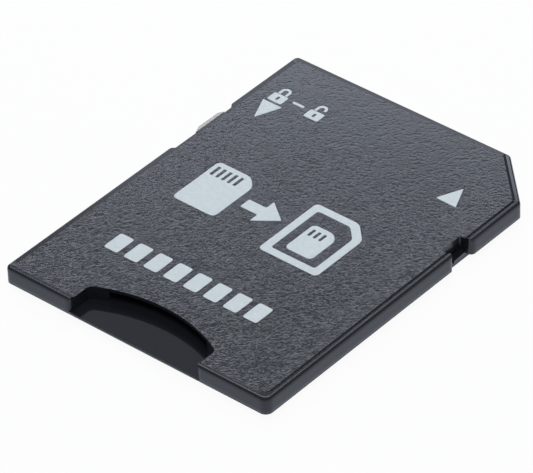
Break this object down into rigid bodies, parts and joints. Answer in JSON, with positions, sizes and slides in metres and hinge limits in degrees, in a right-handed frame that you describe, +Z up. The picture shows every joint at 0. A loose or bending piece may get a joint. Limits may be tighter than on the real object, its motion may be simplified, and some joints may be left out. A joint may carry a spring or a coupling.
{
  "type": "memory card adapter",
  "caption": "Thin black sleeve, cut at one corner, that takes a small memory card at one end and meets a full-size card slot with contact pads at the other; the side lock slides.",
  "frame": {"origin": "centre of the 24 by 32 mm outline, on the flat underside that the adapter rests on", "axes": "+X to the right seen from the label side, +Y along the length to the contact end, +Z up out of the label side"},
  "size_m": [0.024, 0.032, 0.0021],
  "materials": {
    "housing": "moulded black ABS with a fine grain on the label field",
    "slider": "satin translucent grey acetal",
    "insulator": "matt black LCP",
    "contacts": "gold-plated copper alloy",
    "spring": "bright spring stainless steel"
  },
  "bodies": {
    "housing": {"bottom_cover": "housing", "top_cover": "housing", "contact_carrier": "insulator", "contact_pad_9": "contacts", "contact_pad_1": "contacts", "contact_pad_2": "contacts", "ground_pad_3": "contacts", "contact_pad_4": "contacts", "contact_pad_5": "contacts", "contact_pad_6": "contacts", "contact_pad_7": "contacts", "contact_pad_8": "contacts", "ground_bridge": "contacts", "retention_spring": "spring"},
    "lock": {"lock_slider": "slider"}
  },
  "joints": [
    {"name": "lock_slide", "type": "slide", "parent": "housing", "child": "lock", "axis": [0, -1, 0], "range_m": [0, 0.002]}
  ]
}
